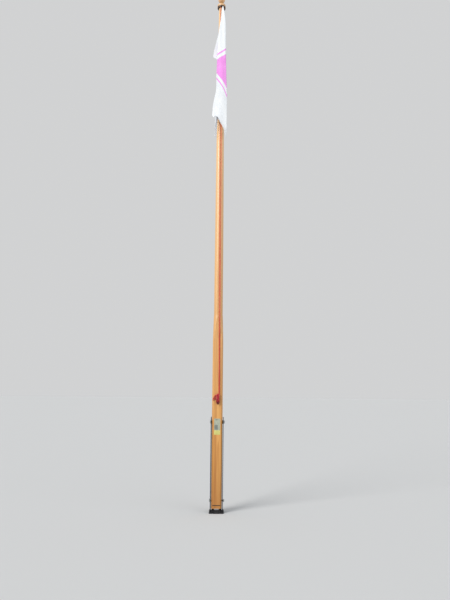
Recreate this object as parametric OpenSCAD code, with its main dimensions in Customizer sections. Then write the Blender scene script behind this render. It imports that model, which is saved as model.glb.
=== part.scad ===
// Timber flagpole that hinges down between the two cheeks of a steel tabernacle.
// Z = 0 is the underside of the base plate, on the ground, under the middle of the pole.
// X runs from cheek to cheek, and -Y is the front: the face with the cleat, halyard and flag.

/* [Timber pole] */
// Width and depth of the square butt
butt_w = 125; // [110:1:140]
// Width of the flat planed on each arris, measured along the face
arris_cut = 16; // [8:1:22]
// Height of the heel above the ground
heel_z = 50; // [44:1:70]
// Height at which the square starts to turn into the round
square_top_z = 2000; // [1600:10:2400]
// Length of the turn from square to round
turn_len = 320; // [200:10:500]
// Diameter of the round shaft just above the turn
shaft_low_d = 107; // [100:1:112]
// Diameter of the round shaft at its head
shaft_head_d = 68; // [62:1:76]
// Height of the shaft's head, where the truck sits
head_z = 6468; // [5800:10:7200]
// Diameter of the spigot on the head
spigot_d = 40; // [30:1:44]
// Length of the spigot
spigot_len = 22; // [14:1:24]
// Height of the middle of the dark groove across the front of the heel
groove_z = 86; // [74:1:110]
// Height of the groove
groove_h = 10; // [6:1:14]
// Depth of the groove
groove_depth = 3; // [2:0.5:5]

/* [Tabernacle] */
// Width of the base plate, across the cheeks
base_w = 172; // [168:1:220]
// Depth of the base plate, front to back
base_d = 180; // [170:1:240]
// Thickness of the base plate
base_t = 12; // [8:1:16]
// Corner radius of the base plate
base_corner_r = 10; // [4:1:16]
// Diameter of the anchor holes
anchor_hole_d = 18; // [14:1:20]
// Spacing of the anchor holes across the cheeks
anchor_pitch_x = 84; // [60:1:90]
// Spacing of the anchor holes front to back
anchor_pitch_y = 136; // [110:1:140]
// Thickness of each cheek
cheek_t = 8; // [6:1:12]
// Depth of each cheek, front to back
cheek_d = 120; // [100:1:140]
// Gap between the timber and each cheek
cheek_gap = 5; // [3:0.5:8]
// Leg of the weld along the foot of each cheek
weld_leg = 6; // [4:0.5:8]

/* [Pivot and lock] */
// Height of the pivot bolt
pivot_z = 1030; // [900:5:1200]
// Diameter of the pivot bolt
pivot_d = 20; // [16:1:24]
// Height of the lock bolt
lock_z = 131; // [118:1:160]
// Diameter of the lock bolt
lock_d = 16; // [12:1:20]
// Radial running clearance of a bolt in its hole
bolt_clear = 0.05; // [0.02:0.01:0.1]
// Clearance round the lock bolt in the cheek slots
slot_clear = 0.5; // [0.3:0.1:1]
// Gap between a moving face and the face that it slides past
slide_gap = 0.3; // [0.2:0.1:0.5]
// Outer diameter of the pivot washers and shim rings, over the bolt's diameter
washer_margin = 20; // [16:1:24]
// Thickness of the washers
washer_t = 2; // [2:0.5:4]
// Width across flats of a hex head or nut, over the bolt's diameter
hex_margin = 8; // [8:1:12]
// Thickness of a bolt's head
hex_head_t = 9; // [8:1:14]
// Thickness of a nut
hex_nut_t = 11; // [10:1:18]
// Length of thread that stands out of a nut
thread_out = 3; // [3:1:10]
// Chamfer on the outer edge of a bolt head, nut and thread
hex_chamfer = 1.6; // [1:0.1:2]

/* [Cleat] */
// Height of the middle of the cleat
cleat_z = 1300; // [1200:5:1500]
// Offset of the cleat to the right of the pole's middle
cleat_x = 6; // [0:1:12]
// Length of the cleat from horn tip to horn tip
cleat_len = 130; // [128:1:150]
// Distance from the timber to the middle of the horns
cleat_reach = 30; // [28:1:36]
// Radius of the horns at the middle of the cleat
horn_r = 7; // [6:0.5:8]
// Radius of the horns near their tips
horn_tip_r = 5; // [4:0.5:6]
// Radius of the two stems
stem_r = 6; // [5:0.5:7]
// Distance between the two stems
stem_pitch = 34; // [28:1:38]
// Length of the cleat's foot
foot_len = 94; // [88:1:110]
// Width of the cleat's foot
foot_w = 24; // [18:1:30]
// Thickness of the cleat's foot
foot_t = 5; // [3:1:6]
// Diameter of the two screw holes in the foot
screw_d = 5; // [4:0.5:6]

/* [Halyard] */
// Diameter of the rope
rope_d = 7; // [5:0.5:7.5]
// Offset of the two falls to the right of the pole's middle, where they reach the cleat
fall_x = 20; // [16:1:26]
// Gap between ropes, and between a rope and what it passes
rope_gap = 0.4; // [0.3:0.1:0.6]
// Distance of the two falls from the timber where they reach the cleat
fall_reach = 9; // [8:0.5:10]
// Number of half turns round the horns
half_turns = 6; // [2:2:6]
// Distance of the first turn from the cleat's middle
first_turn = 33; // [32:1:35]

/* [Truck and ball] */
// Diameter of the truck
truck_d = 108; // [104:1:124]
// Thickness of the truck at its rim
truck_h = 54; // [50:1:62]
// Rise of the truck's crown over its rim
crown_h = 8; // [4:1:14]
// Radius on the edges of the truck
truck_edge_r = 8; // [4:1:10]
// Depth of the quirk turned round the rim
quirk_depth = 2.5; // [1.5:0.5:3]
// Radius of the drip groove turned in the underside
drip_r = 3; // [2:0.5:3.5]
// Diameter of the sheave
sheave_d = 32; // [30:1:34]
// Thickness of the sheave
sheave_t = 10; // [9:1:11]
// Radius of the rope's middle round the sheave
sheave_rope_r = 14; // [13:0.5:14.5]
// Distance from the pole's middle to the sheave
sheave_y = 42; // [41:0.5:43]
// Depth of the sheave's middle under the top of the rim
sheave_drop = 7; // [6:1:9]
// Diameter of the sheave's pin
sheave_pin_d = 6; // [5:1:8]
// Diameter of the stem under the ball
stem_d = 14; // [10:1:20]
// Height of the gap between the crown and the ball
stem_gap = 27; // [12:1:50]
// Depth of the stem in the truck and in the ball
stem_seat = 12; // [8:1:14]
// Diameter of the ball
ball_d = 90; // [70:1:120]

/* [Notice plate] */
// Width of the plate on the front of the pole
plate_w = 73; // [50:1:80]
// Height of the plate
plate_h = 186; // [100:1:200]
// Thickness of the plate
plate_t = 1.5; // [1:0.1:3]
// Height of the plate's lower edge
plate_z = 886; // [820:1:960]

/* [Flag] */
// Thickness of the gathered cloth
cloth_t = 46; // [36:1:52]
// Depth of a pleat in the gathered cloth
pleat_depth = 18; // [10:1:22]
// Number of pleats across the cloth
pleat_count = 3; // [2:1:4]
// Gap between the cloth and the eyes behind it
cloth_gap = 0.5; // [0.3:0.1:0.8]
// Height between the upper and the lower eye
hoist_drop = 770; // [700:10:850]
// Radius of the eyes that hold the flag, to the middle of the rope
eye_r = 8; // [7:0.5:9]
// Depth of the upper eye's top under the truck
eye_drop = 7; // [5:1:12]

/* [Hidden] */

$fn = 64;
eps = 0.01;

front_y = -butt_w / 2;
inner_x = butt_w / 2 + cheek_gap;
outer_x = inner_x + cheek_t;

// The corner of the planed square, seen from above, lies this far from the middle.
corner_r = norm([butt_w / 2, butt_w / 2 - arris_cut]);
// The round starts just outside that corner, and its flats run out just under the top.
blank_r = corner_r + 0.6;
run_out = 0.6;
shaft_low_z = square_top_z + turn_len;
turn_lean = atan((butt_w / 2 - shaft_low_d / 2 - run_out) / turn_len);

rope_r = rope_d / 2;
fall_y = front_y - fall_reach;
fall_z = cleat_z + cleat_len / 2 + 10;
fall_half = rope_r + rope_gap;
bar_y = front_y - cleat_reach;

truck_top_z = head_z + truck_h;
crown_z = truck_top_z + crown_h;
sheave_z = truck_top_z - sheave_drop;
ball_z = crown_z + stem_gap + ball_d / 2;

eye_top_z = head_z - eye_drop;
eye_y = -sheave_y - 2;
eye_z = eye_top_z - eye_r - rope_r;
low_eye_z = eye_z - hoist_drop;
low_eye_y = -shaft_r(low_eye_z) - eye_r - rope_r - 2 * rope_gap;

// The flag's tied corner, just under the truck, and the edges of the cloth as it hangs, as height
// under that corner and distance from the pole's middle.
corner_z = head_z - cloth_gap;
cloth_left = [
  [0, 12], [-70, 3], [-225, -6], [-300, -14], [-380, -28], [-480, -50], [-620, -79], [-755, -104],
  [-812, -52], [-950, -55], [-1090, -58], [-1230, -66], [-1310, -75], [-1390, -90], [-1480, -97],
  [-1560, -103], [-1608, -105]
];
cloth_right = [
  [0, 24], [-70, 37], [-150, 48], [-225, 58], [-300, 62], [-700, 67], [-1020, 72], [-1160, 81],
  [-1560, 85], [-1810, 84], [-1850, 77]
];
// The hem, as place from left to right and height under the tied corner.
cloth_hem = [
  [0, -1608], [0.1, -1640], [0.22, -1610], [0.35, -1618], [0.45, -1638], [0.56, -1682],
  [0.69, -1720], [0.84, -1772], [1, -1850]
];
cloth_steps = 18;
// The back of the cloth touches neither eye, and keeps its lean below the lower one.
cloth_back_y = eye_y - eye_r - rope_r - cloth_gap;
cloth_lean = (low_eye_y - eye_y) / hoist_drop;

function unit(v) = v / norm(v);

// Directions along a route of points.
function headings(p) = [
  for (i = [0:len(p) - 1]) unit(p[min(i + 1, len(p) - 1)] - p[max(i - 1, 0)])
];

// A side direction at each point that doesn't twist along the route.
function sides(t) = [
  for (
    i = 0, s = unit(cross(t[0], abs(t[0][2]) < 0.9 ? [0, 0, 1] : [1, 0, 0]));
    i < len(t);
    i = i + 1, s = i < len(t) ? unit(s - (s * t[i]) * t[i]) : s
  ) s
];

// A round rope along a route.
module rope(route, r = rope_r, ring = 8) {
  t = headings(route);
  s = sides(t);
  n = len(route);
  points = [
    for (i = [0:n - 1])
      for (k = [0:ring - 1])
        route[i] + r * (cos(360 * k / ring) * s[i] + sin(360 * k / ring) * cross(t[i], s[i]))
  ];
  skin = [
    for (i = [0:n - 2])
      for (k = [0:ring - 1])
        let (a = i * ring + k, b = i * ring + (k + 1) % ring)
          each [[a, a + ring, b], [b, a + ring, b + ring]]
  ];
  caps = [
    [for (k = [0:ring - 1]) k],
    [for (k = [ring - 1:-1:0]) (n - 1) * ring + k]
  ];
  polyhedron(points, concat(skin, caps));
}

// A straight round bar from one point to another.
module bar(a, b, r) {
  d = b - a;
  translate(a)
    rotate([0, acos(d[2] / norm(d)), atan2(d[1], d[0])])
      cylinder(r = r, h = norm(d));
}

// A cylinder along +X from x0 to x1 at a height.
module cross_cylinder(x0, x1, z, r) {
  translate([x0, 0, z])
    rotate([0, 90, 0])
      cylinder(r = r, h = x1 - x0);
}

// A hexagon with its outer corners turned off, standing on Z = 0.
module hexagon(across, h) {
  intersection() {
    cylinder(r = across / sqrt(3), h = h, $fn = 6);
    rotate_extrude()
      polygon([
        [0, 0], [across / sqrt(3) + 1, 0], [across / sqrt(3) + 1, h - hex_chamfer * 1.4],
        [across / 2, h], [0, h]
      ]);
  }
}

// A hex bolt along X: its head on the left, its thread standing out on the right.
module hex_bolt(d, z, head_x, end_x) {
  translate([head_x, 0, z])
    rotate([0, -90, 0])
      hexagon(d * 1.15 + hex_margin - 1, hex_head_t);
  cross_cylinder(head_x - eps, end_x - hex_chamfer, z, d / 2);
  translate([end_x - hex_chamfer, 0, z])
    rotate([0, 90, 0])
      cylinder(r1 = d / 2, r2 = d / 2 - hex_chamfer, h = hex_chamfer);
}

// A nut on the right-hand side, round a bolt.
module hex_nut(d, z, x) {
  difference() {
    translate([x, 0, z])
      rotate([0, 90, 0])
        hexagon(d * 1.15 + hex_margin - 1, hex_nut_t);
    cross_cylinder(x - 1, x + hex_nut_t + 1, z, d / 2 + bolt_clear);
  }
}

module washer(x0, z, d, t) {
  difference() {
    cross_cylinder(x0, x0 + t, z, (d + washer_margin) / 2);
    cross_cylinder(x0 - 1, x0 + t + 1, z, d / 2 + bolt_clear);
  }
}

module base_plate() {
  color("dimgray")
    difference() {
      linear_extrude(base_t)
        difference() {
          square([base_w, base_d], center = true);
          for (sx = [-1, 1], sy = [-1, 1])
            translate([sx * (base_w / 2 - base_corner_r), sy * (base_d / 2 - base_corner_r)])
              difference() {
                translate([sx > 0 ? 0 : -base_corner_r - 1, sy > 0 ? 0 : -base_corner_r - 1])
                  square(base_corner_r + 1);
                circle(base_corner_r);
              }
        }
      for (sx = [-1, 1], sy = [-1, 1])
        translate([sx * anchor_pitch_x / 2, sy * anchor_pitch_y / 2, -1])
          cylinder(d = anchor_hole_d, h = base_t + 2);
    }
}

// The slot that lets the lock bolt swing out to the rear, cut on its arc about the pivot.
module lock_slot() {
  arc_r = pivot_z - lock_z;
  half = lock_d / 2 + slot_clear;
  cross_cylinder(-1, cheek_t + 1, lock_z, half);
  intersection() {
    difference() {
      cross_cylinder(-1, cheek_t + 1, pivot_z, arc_r + half);
      cross_cylinder(-2, cheek_t + 2, pivot_z, arc_r - half);
    }
    translate([-2, 0, lock_z - 2 * half])
      cube([cheek_t + 4, cheek_d, 4 * half]);
  }
}

// A cheek whose inner face is at X = 0: a flat bar with a round head about the pivot.
module cheek() {
  difference() {
    union() {
      translate([0, -cheek_d / 2, base_t])
        cube([cheek_t, cheek_d, pivot_z - base_t]);
      cross_cylinder(0, cheek_t, pivot_z, cheek_d / 2);
      for (side = [0, 1])
        translate([side * cheek_t, 0, base_t])
          mirror([1 - side, 0, 0])
            rotate([90, 0, 0])
              linear_extrude(cheek_d, center = true)
                polygon([[-1, 0], [weld_leg, 0], [0, weld_leg], [-1, weld_leg]]);
    }
    cross_cylinder(-1, cheek_t + 1, pivot_z, pivot_d / 2 + bolt_clear);
    lock_slot();
  }
}

module left_cheek() {
  color("darkslategray")
    mirror([1, 0, 0])
      translate([inner_x, 0, 0])
        cheek();
}

module right_cheek() {
  color("darkslategray")
    translate([inner_x, 0, 0])
      cheek();
}

module left_shim_ring() {
  color("gainsboro")
    washer(-inner_x, pivot_z, pivot_d, cheek_gap - slide_gap);
}

module right_shim_ring() {
  color("gainsboro")
    washer(inner_x - cheek_gap + slide_gap, pivot_z, pivot_d, cheek_gap - slide_gap);
}

module left_pivot_washer() {
  color("silver")
    washer(-outer_x - washer_t, pivot_z, pivot_d, washer_t);
}

module right_pivot_washer() {
  color("silver")
    washer(outer_x, pivot_z, pivot_d, washer_t);
}

module pivot_bolt() {
  color("silver")
    hex_bolt(pivot_d, pivot_z, -outer_x - washer_t, outer_x + washer_t + hex_nut_t + thread_out);
}

module pivot_nut() {
  color("silver")
    hex_nut(pivot_d, pivot_z, outer_x + washer_t);
}

module left_lock_washer() {
  color("silver")
    washer(-outer_x - slide_gap - washer_t, lock_z, lock_d, washer_t);
}

module right_lock_washer() {
  color("silver")
    washer(outer_x + slide_gap, lock_z, lock_d, washer_t);
}

module lock_bolt() {
  seat_x = outer_x + slide_gap + washer_t;
  color("silver")
    hex_bolt(lock_d, lock_z, -seat_x, seat_x + hex_nut_t + thread_out);
}

module lock_nut() {
  color("silver")
    hex_nut(lock_d, lock_z, outer_x + slide_gap + washer_t);
}

// Radius of the round shaft: a parabola, so that it swells low down and draws in to its head.
function shaft_r(z) =
  let (t = (z - shaft_low_z) / (head_z - shaft_low_z))
    shaft_low_d / 2 - (shaft_low_d - shaft_head_d) / 2 * t * t;

// One face of the butt: upright up to the turn, then leaning in until it runs out.
module face_cut() {
  far = 2 * corner_r;
  translate([butt_w / 2, -far, heel_z - 1])
    cube([far, 2 * far, square_top_z - heel_z + 1]);
  translate([butt_w / 2, -far, square_top_z])
    rotate([0, -turn_lean, 0])
      translate([0, 0, -20])
        cube([far, 2 * far, turn_len + 25]);
}

// One arris of the butt, planed off.
module arris_plane() {
  far = 2 * corner_r;
  rotate([0, 0, 45])
    translate([(butt_w - arris_cut) / sqrt(2), -far, heel_z - 1])
      cube([far, 2 * far, shaft_low_z - heel_z]);
}

module timber_pole() {
  taper_steps = 14;
  color("peru")
    difference() {
      rotate_extrude()
        polygon(concat(
          [[0, heel_z], [blank_r, heel_z], [blank_r, square_top_z]],
          [
            for (i = [0:taper_steps])
              let (z = shaft_low_z + (head_z - shaft_low_z) * i / taper_steps)
                [shaft_r(z), z]
          ],
          [[spigot_d / 2, head_z], [spigot_d / 2, head_z + spigot_len], [0, head_z + spigot_len]]
        ));
      for (a = [0:90:270])
        rotate([0, 0, a]) {
          face_cut();
          arris_plane();
        }
      cross_cylinder(-butt_w, butt_w, pivot_z, pivot_d / 2 + bolt_clear);
      cross_cylinder(-butt_w, butt_w, lock_z, lock_d / 2 + bolt_clear);
      translate([-(butt_w / 2 - arris_cut), front_y - 1, groove_z - groove_h / 2])
        cube([butt_w - 2 * arris_cut, groove_depth + 1, groove_h]);
    }
}

module notice_plate() {
  color("darkkhaki")
    translate([-plate_w / 2, front_y - plate_t, plate_z])
      cube([plate_w, plate_t, plate_h]);
}

module cleat() {
  waist_z = stem_pitch / 2 + stem_r + 2;
  screw_z = (foot_len - foot_w) / 2;
  color("dimgray")
    translate([cleat_x, 0, cleat_z]) {
      difference() {
        translate([0, front_y, 0])
          rotate([90, 0, 0])
            linear_extrude(foot_t) {
              square([foot_w, foot_len - foot_w], center = true);
              for (s = [-1, 1])
                translate([0, s * screw_z])
                  circle(d = foot_w);
            }
        for (s = [-1, 1])
          translate([0, front_y + 1, s * screw_z])
            rotate([90, 0, 0]) {
              cylinder(d = screw_d, h = foot_t + 2);
              translate([0, 0, foot_t + 1 - screw_d / 2])
                cylinder(r1 = screw_d / 2, r2 = screw_d, h = screw_d / 2);
            }
      }
      for (s = [-1, 1])
        translate([0, front_y - foot_t + 1, s * stem_pitch / 2])
          rotate([90, 0, 0])
            cylinder(r = stem_r, h = cleat_reach - foot_t + 1);
      translate([0, bar_y, 0])
        rotate_extrude()
          polygon(concat(
            [[0, -cleat_len / 2]],
            [for (a = [-60:30:0]) horn_end(a, -1)],
            [[horn_r, -waist_z], [horn_r, waist_z]],
            [for (a = [0:-30:-60]) horn_end(a, 1)],
            [[0, cleat_len / 2]]
          ));
    }
}

// A point on the round tip of a horn, in the plane that is turned about the cleat's middle.
function horn_end(a, side) = [
  horn_tip_r * cos(a),
  side * (cleat_len / 2 - horn_tip_r - horn_tip_r * sin(a))
];

// The rope round the horns: figures of eight, each half turn farther out and farther forward.
function turn_point(h) =
  let (
    a = 270 + 180 * h,
    front = horn_r + rope_r + rope_gap + (rope_d + rope_gap) * max(h - 0.5, 0),
    back = horn_r + rope_r + rope_gap,
    reach = first_turn + (rope_d + 2 * rope_gap) * h / 2,
    wide = horn_r + rope_r + 3 * rope_gap + 4
  )
    [
      cleat_x - wide * sin(2 * a),
      bar_y - (front - back) / 2 - (front + back) / 2 * cos(2 * a),
      cleat_z + reach * sin(a)
    ];

// The two falls pass the stems on their outer sides, behind the turns.
pass_x = stem_r + rope_r + 2 * rope_gap;
side_y = fall_y + 0.5;
function lead_in() = [
  [fall_x - fall_half, fall_y, fall_z],
  [fall_x - fall_half - 1, fall_y, fall_z - 8],
  [cleat_x - pass_x, side_y, cleat_z + stem_pitch / 2 + 14],
  [cleat_x - pass_x, side_y, cleat_z - stem_pitch / 2],
  [cleat_x - pass_x, side_y - 1, cleat_z - first_turn + 8],
  [cleat_x - pass_x + 3, side_y - 4, cleat_z - first_turn + 2]
];
function lead_out(end) = [
  [end[0] + 5, end[1] + 2, end[2] - 0.5],
  [end[0] + 9, end[1] + 5, end[2] + 1.5],
  [cleat_x + pass_x + 1, side_y, end[2] + 8],
  [cleat_x + pass_x, side_y, cleat_z - stem_pitch / 2],
  [cleat_x + pass_x, side_y, cleat_z + stem_pitch / 2 + 14],
  [fall_x + fall_half + 1, fall_y, fall_z - 12],
  [fall_x + fall_half, fall_y, fall_z]
];

belay_route = concat(
  lead_in(),
  [for (h = [0:0.1:half_turns + 0.01]) turn_point(h)],
  lead_out(turn_point(half_turns))
);

module halyard_belay() {
  color("crimson")
    rope(belay_route);
}

// The slack bight that hangs from the belay to the left, over the front of the timber.
bight_route = [
  [0, 18, 54], [-5, 16, 55], [-12, 11, 52], [-20, 6, 44], [-28, 2, 32], [-36, 0, 18],
  [-42, 0, 6], [-45, 0, -4], [-44, 0, -11], [-38, 0, -14], [-30, 0, -10],
  [-22, 3, -2], [-14, 8, 5], [-7, 13, 9]
];
bight_y = front_y - rope_r - rope_gap;

module halyard_bight() {
  color("orangered")
    rope([for (p = bight_route) [cleat_x - 14 + p[0], bight_y - p[1], cleat_z + p[2]]]);
}

module halyard_uphaul() {
  color("firebrick")
    bar(
      [fall_x - fall_half, fall_y, fall_z + rope_gap],
      [-sheave_rope_r, -sheave_y, sheave_z - rope_gap],
      rope_r
    );
}

module halyard_downhaul() {
  color("firebrick")
    bar(
      [fall_x + fall_half, fall_y, fall_z + rope_gap],
      [sheave_rope_r, low_eye_y, low_eye_z - eye_r - rope_r - rope_gap],
      rope_r
    );
}

// The rope over the sheave, and its short end down to the upper eye.
module halyard_head_turn() {
  color("firebrick") {
    translate([0, -sheave_y, sheave_z])
      rotate([90, 0, 0])
        rotate_extrude(angle = 180)
          translate([sheave_rope_r, 0])
            circle(r = rope_r);
    translate([sheave_rope_r, -sheave_y, eye_top_z + rope_gap])
      cylinder(r = rope_r, h = sheave_z - eye_top_z - rope_gap);
  }
}

module eye(y, z) {
  translate([sheave_rope_r, y, z])
    rotate([0, 90, 0])
      rotate_extrude()
        translate([eye_r, 0])
          circle(r = rope_r);
}

module upper_eye() {
  color("firebrick")
    eye(eye_y, eye_z);
}

module lower_eye() {
  color("firebrick")
    eye(low_eye_y, low_eye_z);
}

// A point of the gathered cloth: row u down the cloth, place v across it, side 0 or 1.
function cloth_point(u, v, side) =
  let (
    z = lookup(v, cloth_hem) * u,
    x = lookup(z, cloth_left) * (1 - v) + lookup(z, cloth_right) * v,
    depth = pleat_depth * min(1, 0.1 + 2.4 * u),
    lean = cloth_back_y - cloth_lean * z,
    wave = depth * (1 + cos(360 * pleat_count * v + 50 * u)) / 2,
    body = cloth_t * (0.15 + 0.85 * min(1, 4 * u)) * (0.35 + 0.65 * sqrt(abs(sin(180 * v))))
  )
    [x, lean - wave - side * body, corner_z + z];

module flag() {
  rows = [for (p = cloth_left) p[0] / cloth_left[len(cloth_left) - 1][0]];
  n = len(rows);
  m = cloth_steps + 1;
  points = [
    for (side = [0, 1])
      for (u = rows)
        for (k = [0:cloth_steps])
          cloth_point(u, k / cloth_steps, side)
  ];
  function at(side, i, k) = side * n * m + i * m + k;
  faces = concat(
    [
      for (i = [0:n - 2])
        for (k = [0:cloth_steps - 1])
          each [
            [at(0, i, k), at(0, i, k + 1), at(0, i + 1, k)],
            [at(0, i, k + 1), at(0, i + 1, k + 1), at(0, i + 1, k)],
            [at(1, i, k), at(1, i + 1, k), at(1, i, k + 1)],
            [at(1, i, k + 1), at(1, i + 1, k), at(1, i + 1, k + 1)]
          ]
    ],
    [
      for (k = [0:cloth_steps - 1])
        for (i = [0, n - 1])
          let (a = at(0, i, k), b = at(0, i, k + 1), c = at(1, i, k), d = at(1, i, k + 1))
            each (i == 0 ? [[a, c, b], [b, c, d]] : [[a, b, c], [b, d, c]])
    ],
    [
      for (i = [0:n - 2])
        for (k = [0, cloth_steps])
          let (a = at(0, i, k), b = at(0, i + 1, k), c = at(1, i, k), d = at(1, i + 1, k))
            each (k == 0 ? [[a, b, c], [b, d, c]] : [[a, c, b], [b, c, d]])
    ]
  );
  color("white")
    polyhedron(points, faces);
}

module truck() {
  slot_x = sheave_rope_r + rope_r + 1.5;
  slot_half = sheave_t / 2 + 1;
  r = truck_edge_r;
  rim_r = truck_d / 2;
  drip_at = rim_r - r - drip_r - 1;
  quirk_z = 0.42 * truck_h;
  color("burlywood")
    difference() {
      translate([0, 0, head_z])
        rotate_extrude()
          polygon(concat(
            [[0, 0]],
            [for (a = [180:-30:0]) [drip_at + drip_r * cos(a), drip_r * sin(a)]],
            [for (a = [-90:18:0]) [rim_r - r + r * cos(a), r + r * sin(a)]],
            [[rim_r, quirk_z - quirk_depth], [rim_r - quirk_depth, quirk_z], [rim_r, quirk_z + quirk_depth]],
            [for (a = [0:15:75]) [rim_r - r + r * cos(a), truck_h - r + r * sin(a)]],
            [[stem_d, truck_h + crown_h], [0, truck_h + crown_h]]
          ));
      translate([0, 0, head_z - 1])
        cylinder(d = spigot_d + 2 * bolt_clear, h = spigot_len + 1 + 2 * bolt_clear);
      translate([0, 0, crown_z - stem_seat])
        cylinder(d = stem_d + 2 * bolt_clear, h = stem_seat + 1);
      translate([-slot_x, -sheave_y - slot_half, head_z - 1])
        cube([2 * slot_x, 2 * slot_half, truck_h + crown_h + 2]);
      sheave_axis(sheave_pin_d / 2 + bolt_clear, 1);
    }
}

// The sheave's axis, from just inside the rim to behind the slot.
module sheave_axis(r, longer = 0) {
  translate([0, -truck_d / 2 + 2.5 - longer, sheave_z])
    rotate([-90, 0, 0])
      cylinder(r = r, h = truck_d / 2 - 2.5 - sheave_y + sheave_t / 2 + 6 + longer);
}

module sheave() {
  groove_r = rope_r + rope_gap / 2;
  color("goldenrod")
    translate([0, -sheave_y, sheave_z])
      rotate([90, 0, 0])
        difference() {
          cylinder(d = sheave_d, h = sheave_t, center = true);
          rotate_extrude()
            translate([sheave_rope_r, 0]) {
              circle(r = groove_r);
              translate([0, -groove_r])
                square([sheave_d, 2 * groove_r]);
            }
          cylinder(r = sheave_pin_d / 2 + bolt_clear, h = sheave_t + 2, center = true);
        }
}

module sheave_pin() {
  color("goldenrod")
    sheave_axis(sheave_pin_d / 2);
}

module finial_stem() {
  color("goldenrod")
    translate([0, 0, crown_z - stem_seat])
      cylinder(d = stem_d, h = 2 * stem_seat + stem_gap);
}

module ball_finial() {
  color("burlywood")
    difference() {
      translate([0, 0, ball_z])
        sphere(d = ball_d);
      translate([0, 0, ball_z - ball_d])
        cylinder(d = stem_d + 2 * bolt_clear, h = ball_d / 2 + stem_seat + bolt_clear);
    }
}

base_plate();
left_cheek();
right_cheek();
left_shim_ring();
right_shim_ring();
pivot_bolt();
pivot_nut();
left_pivot_washer();
right_pivot_washer();
timber_pole();
lock_bolt();
lock_nut();
left_lock_washer();
right_lock_washer();
notice_plate();
cleat();
halyard_belay();
halyard_bight();
halyard_uphaul();
halyard_downhaul();
halyard_head_turn();
upper_eye();
lower_eye();
flag();
truck();
sheave();
sheave_pin();
finial_stem();
ball_finial();
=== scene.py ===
"""Looks for the timber flagpole: finishes, rope, flag cloth, small fittings, light and camera.

Metres, in the part's own frame: +Z up, -Y the front, the origin under the middle of the pole.
"""

import math

import bpy
import numpy as np
from mathutils import Matrix, Vector, noise


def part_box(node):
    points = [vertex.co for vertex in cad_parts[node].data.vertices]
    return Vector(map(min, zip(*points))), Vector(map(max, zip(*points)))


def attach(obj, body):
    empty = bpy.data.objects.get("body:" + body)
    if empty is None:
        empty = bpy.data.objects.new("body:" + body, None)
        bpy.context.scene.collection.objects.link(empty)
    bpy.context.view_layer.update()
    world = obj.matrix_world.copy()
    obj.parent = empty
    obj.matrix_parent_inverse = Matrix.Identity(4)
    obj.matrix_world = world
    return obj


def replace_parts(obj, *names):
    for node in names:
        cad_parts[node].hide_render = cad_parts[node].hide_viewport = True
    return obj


MM = 0.001

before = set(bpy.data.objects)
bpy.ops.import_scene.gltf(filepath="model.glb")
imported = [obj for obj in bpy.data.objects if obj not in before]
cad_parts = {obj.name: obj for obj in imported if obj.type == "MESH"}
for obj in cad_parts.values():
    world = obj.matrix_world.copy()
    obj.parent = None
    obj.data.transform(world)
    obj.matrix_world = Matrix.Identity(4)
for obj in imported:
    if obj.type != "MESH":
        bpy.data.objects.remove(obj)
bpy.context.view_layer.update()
scene = bpy.context.scene


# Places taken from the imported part

def middle_of(name):
    low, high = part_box(name)
    return (low + high) / 2


POLE_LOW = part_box("timber_pole")[0]
CHEEK_LOW, CHEEK_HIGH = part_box("right_cheek")
PLATE_LOW, PLATE_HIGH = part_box("notice_plate")
TRUCK_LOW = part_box("truck")[0]
CLEAT_AT, SHEAVE_AT = middle_of("cleat"), middle_of("sheave")
UPPER_EYE_MID, LOWER_EYE_MID = middle_of("upper_eye"), middle_of("lower_eye")
UPPER_EYE_TOP, LOWER_EYE_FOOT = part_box("upper_eye")[1].z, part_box("lower_eye")[0].z

# The timber's front face and the base plate's top
FRONT_Y = PLATE_HIGH.y
PLATE_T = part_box("base_plate")[1].z


# Camera

LENS_MM = 33.0
CAMERA_AT = Vector((0.080, -6.719, 1.465))
CAMERA_PITCH = math.radians(8.8)
CAMERA_ROLL = math.radians(0.50)


def make_camera():
    data = bpy.data.cameras.new("camera")
    data.lens = LENS_MM
    data.clip_end = 200
    camera = bpy.data.objects.new("camera", data)
    level = Matrix.Rotation(math.pi / 2 + CAMERA_PITCH, 4, "X")
    camera.matrix_world = Matrix.Translation(CAMERA_AT) @ level @ Matrix.Rotation(CAMERA_ROLL, 4, "Z")
    scene.collection.objects.link(camera)
    scene.camera = camera


# Shader helpers

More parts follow.
